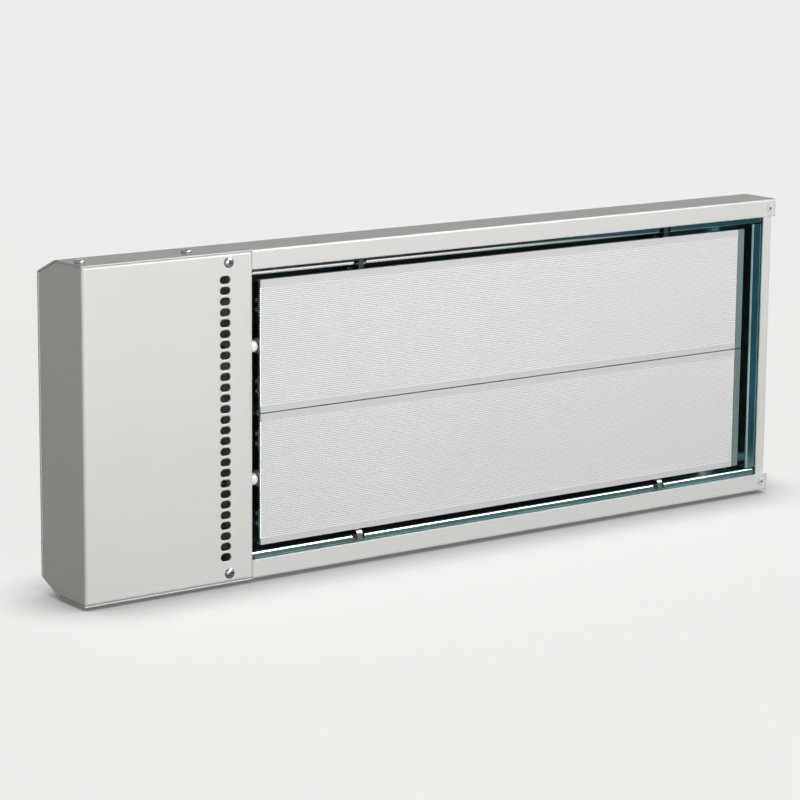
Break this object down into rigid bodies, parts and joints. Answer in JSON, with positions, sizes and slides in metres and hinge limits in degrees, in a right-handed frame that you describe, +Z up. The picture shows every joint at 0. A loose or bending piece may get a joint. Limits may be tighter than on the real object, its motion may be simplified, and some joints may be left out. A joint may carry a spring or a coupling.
{
  "type": "radiant heating panel",
  "caption": "Wall or ceiling radiant heating panel: ribbed aluminium lamellas in a folded steel casing with a slotted terminal cover at one end.",
  "frame": {"origin": "centre of the four rear fixing inserts, on the flat back face of the casing", "axes": "+X along the panel's length away from the terminal box, +Y out of the back, -Y out of the radiating face, +Z up as pictured"},
  "size_m": [0.673, 0.0645, 0.255],
  "materials": {
    "painted_casing": "fine-texture light grey powder coat",
    "painted_cover": "fine-texture light grey powder coat",
    "galvanised_sheet": "bright galvanised sheet with spangle",
    "zinc_screws": "bright zinc plated",
    "rivet_paint": "painted over with the casing",
    "lamella_coat": "mineral coat on ribbed aluminium, bare at the ends",
    "mineral_wool": "loose yellow-brown fibre",
    "steatite": "white glazed ceramic",
    "rod_steel": "heat-tinted steel tube",
    "brass": "machined",
    "silicone_white": "glass-braid silicone sleeve",
    "earth_sleeve": "yellow and green sleeve",
    "grommet_rubber": "moulded black rubber"
  },
  "bodies": {
    "panel": {"casing": "painted_casing", "end_cap": "painted_casing", "end_cap_rivets": "rivet_paint", "rear_inserts": "zinc_screws", "cable_grommet": "grommet_rubber", "bulkhead": "galvanised_sheet", "reflector_tray": "galvanised_sheet", "tray_end": "galvanised_sheet", "insulation_mat": "mineral_wool", "lamella_upper": "lamella_coat", "lamella_lower": "lamella_coat", "heating_rod": "rod_steel", "rod_pins": "rod_steel", "ceramic_bush_upper": "steatite", "ceramic_bush_lower": "steatite", "crimp_sleeves": "zinc_screws", "cross_strap_left": "galvanised_sheet", "cross_strap_right": "galvanised_sheet", "strap_bolts": "zinc_screws", "strap_nuts": "zinc_screws", "terminal_bracket": "galvanised_sheet", "terminal_block": "steatite", "terminal_clamps": "brass", "terminal_screws": "zinc_screws", "block_screws": "zinc_screws", "earth_stud": "zinc_screws", "earth_lug": "zinc_screws", "earth_washer": "zinc_screws", "earth_nut": "brass", "lead_upper": "silicone_white", "lead_lower": "silicone_white", "earth_lead": "earth_sleeve", "cover_side_screws": "zinc_screws", "cover_side_nuts": "zinc_screws"},
    "cover": {"terminal_cover": "painted_cover", "cover_front_screws": "zinc_screws"}
  },
  "joints": [
    {"name": "cover_pull", "type": "slide", "parent": "panel", "child": "cover", "axis": [0, -1, 0], "range_m": [0, 0.075]}
  ]
}
